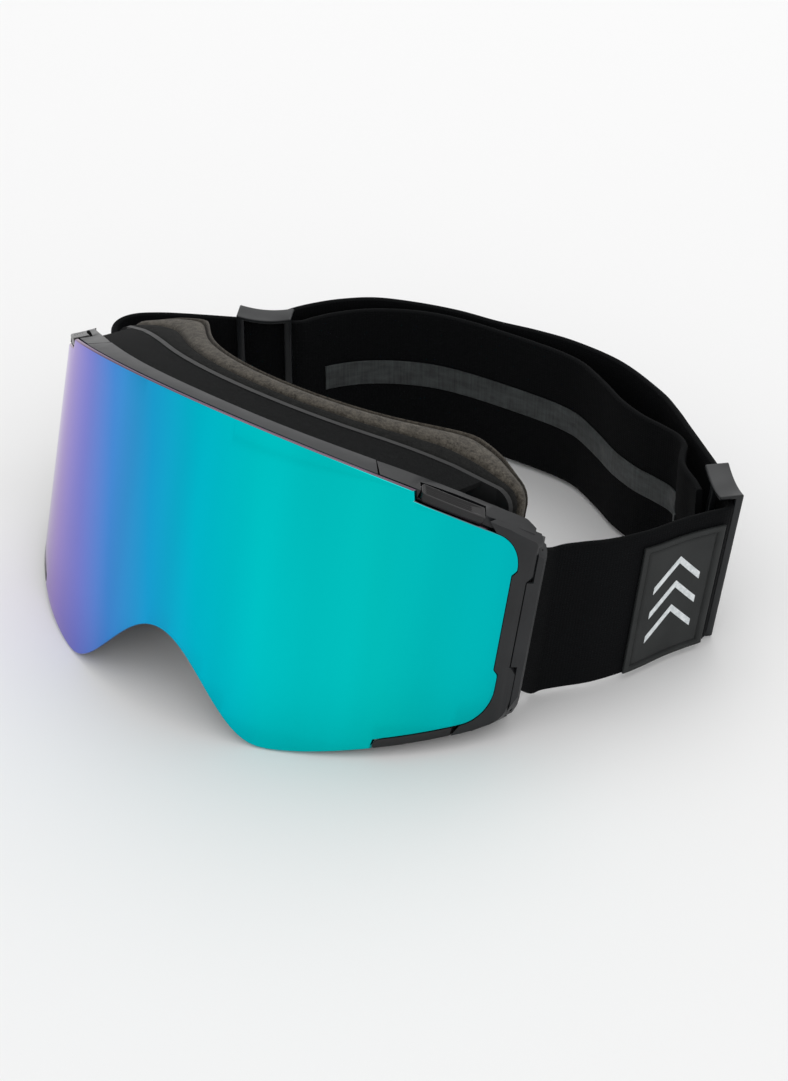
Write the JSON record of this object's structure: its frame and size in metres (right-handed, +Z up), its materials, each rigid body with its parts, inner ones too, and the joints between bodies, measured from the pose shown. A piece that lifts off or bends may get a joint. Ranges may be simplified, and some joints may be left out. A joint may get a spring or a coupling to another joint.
{
  "type": "ski goggles",
  "caption": "Ski goggles with a mirrored cylindrical lens, quick-release levers, layered face foam and an elastic strap looped through two sliders.",
  "frame": {"origin": "middle of the object's box, on the table it stands on", "axes": "+X towards the wearer's left, -Y the way the wearer looks, +Z up from the table"},
  "size_m": [0.217, 0.1786, 0.0973],
  "materials": {
    "mirror_lens": "mirror-coated polycarbonate, turquoise shading to violet",
    "clear_lens": "clear, anti-fog coated",
    "rim_plastic": "matte",
    "frame_plastic": "fine satin moulding",
    "cover_plastic": "fine satin moulding",
    "tab_plastic": "satin moulding",
    "slider_plastic": "satin moulding",
    "steel": "brushed",
    "black_foam": "closed-cell foam",
    "vent_foam": "open-cell filter foam",
    "face_foam": "grainy open-cell foam",
    "fleece": "short-pile fleece",
    "webbing": "woven elastic",
    "silicone": "printed silicone, half matte",
    "patch_rubber": "moulded, matte with a raised border"
  },
  "bodies": {
    "goggles": {"main_frame": "frame_plastic", "frame_magnets": "steel", "face_frame": "rim_plastic", "top_vent_foam": "vent_foam", "bottom_vent_foam": "vent_foam", "base_foam": "face_foam", "cushion_foam": "face_foam", "fleece_liner": "fleece", "end_frame_left": "frame_plastic", "end_frame_right": "frame_plastic", "side_cover_left": "cover_plastic", "side_cover_right": "cover_plastic", "tab_pin_left": "steel", "tab_pin_right": "steel", "tab_spring_left": "steel", "tab_spring_right": "steel", "lower_catch_left": "tab_plastic", "lower_catch_right": "tab_plastic", "strap_post_left": "steel", "strap_post_right": "steel", "cover_screws": "steel", "strap_left": "webbing", "strap_right": "webbing", "grip_stripe": "silicone", "strap_patch": "patch_rubber"},
    "lens": {"outer_lens": "mirror_lens", "lens_rim": "rim_plastic", "lens_magnets": "steel", "lens_spacer": "black_foam", "inner_lens": "clear_lens"},
    "tab_left": {"release_tab_left": "tab_plastic"},
    "tab_right": {"release_tab_right": "tab_plastic"},
    "slider_left": {"slider_left": "slider_plastic"},
    "slider_right": {"slider_right": "slider_plastic"}
  },
  "joints": [
    {"name": "lens_release", "type": "slide", "parent": "goggles", "child": "lens", "axis": [0, -0.9681, 0.2504], "range_m": [0, 0.04]},
    {"name": "tab_left_lift", "type": "hinge", "parent": "goggles", "child": "tab_left", "pos_m": [0.06442, -0.03922, 0.07619], "axis": [-0.6647, -0.5908, 0.4574], "range_deg": [0, 25], "stiffness_Nm_per_rad": 0.02},
    {"name": "tab_right_lift", "type": "hinge", "parent": "goggles", "child": "tab_right", "pos_m": [-0.07678, -0.03922, 0.07619], "axis": [-0.6647, 0.5908, -0.4574], "range_deg": [0, 25], "stiffness_Nm_per_rad": 0.02},
    {"name": "slider_left_adjust", "type": "slide", "parent": "goggles", "child": "slider_left", "axis": [-0.7431, 0.6691, 0], "range_m": [0, 0.01]},
    {"name": "slider_right_adjust", "type": "slide", "parent": "goggles", "child": "slider_right", "axis": [-0.8572, -0.515, 0], "range_m": [0, 0.012]}
  ]
}
